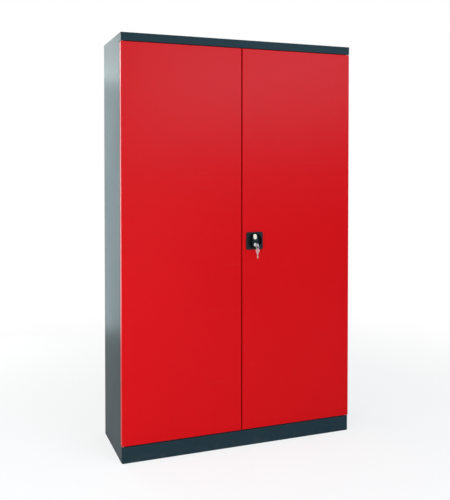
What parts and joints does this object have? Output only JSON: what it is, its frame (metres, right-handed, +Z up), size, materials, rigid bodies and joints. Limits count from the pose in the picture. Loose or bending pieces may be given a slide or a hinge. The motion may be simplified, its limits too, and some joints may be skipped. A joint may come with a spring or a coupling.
{
  "type": "tool cabinet with doors",
  "caption": "Tall steel tool cabinet with two hinged doors, shelves inside and a turn-handle lock with rods to top and bottom.",
  "frame": {"origin": "on the floor under the middle of the carcass, on the floor bearer's underside", "axes": "+X to the right seen from the front, -Y out of the doors, +Z up"},
  "size_m": [1.2, 0.4528, 2],
  "materials": {
    "anthracite_paint": "satin powder coat",
    "red_paint": "satin powder coat",
    "zinc_plate": "bright zinc plate",
    "nylon": "natural nylon",
    "black_rubber": "matt",
    "black_plastic": "satin moulded",
    "chrome": "polished",
    "nickel": "satin nickel plate"
  },
  "bodies": {
    "cabinet": {"side_panel_left": "anthracite_paint", "side_panel_right": "anthracite_paint", "back_panel": "anthracite_paint", "top_panel": "anthracite_paint", "top_rail": "anthracite_paint", "floor_panel": "anthracite_paint", "plinth": "anthracite_paint", "floor_bearer": "anthracite_paint", "upright_front_left": "anthracite_paint", "upright_front_right": "anthracite_paint", "upright_rear_left": "anthracite_paint", "upright_rear_right": "anthracite_paint", "back_rivets": "anthracite_paint", "shelf_1": "zinc_plate", "shelf_2": "zinc_plate", "shelf_3": "zinc_plate", "shelf_4": "zinc_plate", "shelf_stiffener_1": "zinc_plate", "shelf_stiffener_2": "zinc_plate", "shelf_stiffener_3": "zinc_plate", "shelf_stiffener_4": "zinc_plate", "shelf_clips": "zinc_plate", "hinge_pins": "zinc_plate", "hinge_washers": "nylon", "door_buffers": "black_rubber"},
    "left_door": {"left_door_panel": "red_paint", "left_door_stiffener": "red_paint", "left_door_pivot_plates": "zinc_plate", "left_door_bushes": "nylon", "left_door_keeper": "zinc_plate"},
    "right_door": {"right_door_panel": "red_paint", "right_door_stiffener": "red_paint", "right_door_pivot_plates": "zinc_plate", "right_door_bushes": "nylon", "lock_escutcheon": "black_plastic", "lock_case": "zinc_plate", "lock_screws": "zinc_plate", "rod_guides": "zinc_plate"},
    "turn_handle": {"turn_handle": "black_plastic", "handle_insert": "chrome", "lock_spindle": "zinc_plate", "cam_disc": "zinc_plate", "spindle_nuts": "zinc_plate", "centre_hook": "zinc_plate"},
    "upper_rod": {"upper_rod": "zinc_plate"},
    "lower_rod": {"lower_rod": "zinc_plate"},
    "key_cylinder": {"key_cylinder": "nickel"},
    "key": {"key": "nickel"},
    "key_ring": {"key_ring": "nickel"},
    "spare_key": {"spare_key": "nickel"}
  },
  "joints": [
    {"name": "left_door_hinge", "type": "hinge", "parent": "cabinet", "child": "left_door", "pos_m": [-0.591, -0.185, 1], "axis": [0, 0, -1], "range_deg": [0, 110]},
    {"name": "right_door_hinge", "type": "hinge", "parent": "cabinet", "child": "right_door", "pos_m": [0.591, -0.185, 1], "axis": [0, 0, 1], "range_deg": [0, 110]},
    {"name": "handle_turn", "type": "hinge", "parent": "right_door", "child": "turn_handle", "pos_m": [0.066, -0.2, 1.015], "axis": [0, -1, 0], "range_deg": [0, 90]},
    {"name": "upper_rod_slide", "type": "slide", "parent": "right_door", "child": "upper_rod", "axis": [0, 0, 1], "range_m": [0, 0.0256]},
    {"name": "lower_rod_slide", "type": "slide", "parent": "right_door", "child": "lower_rod", "axis": [0, 0, -1], "range_m": [0, 0.0256]},
    {"name": "key_turn", "type": "hinge", "parent": "turn_handle", "child": "key_cylinder", "pos_m": [0.066, -0.216, 0.996], "axis": [0, -1, 0], "range_deg": [0, 90]},
    {"name": "key_pull", "type": "slide", "parent": "key_cylinder", "child": "key", "axis": [0, -1, 0], "range_m": [0, 0.026]},
    {"name": "key_ring_swing", "type": "hinge", "parent": "key", "child": "key_ring", "pos_m": [0.066, -0.2416, 0.9946], "axis": [-1, 0, 0], "range_deg": [-12, 40]},
    {"name": "spare_key_swing", "type": "hinge", "parent": "key_ring", "child": "spare_key", "pos_m": [0.066, -0.2416, 0.981], "axis": [-1, 0, 0], "range_deg": [-12, 40]}
  ],
  "couplings": [
    {"joint": "upper_rod_slide", "follows": "handle_turn", "m_per_rad": 0.016206},
    {"joint": "lower_rod_slide", "follows": "handle_turn", "m_per_rad": 0.016206}
  ]
}
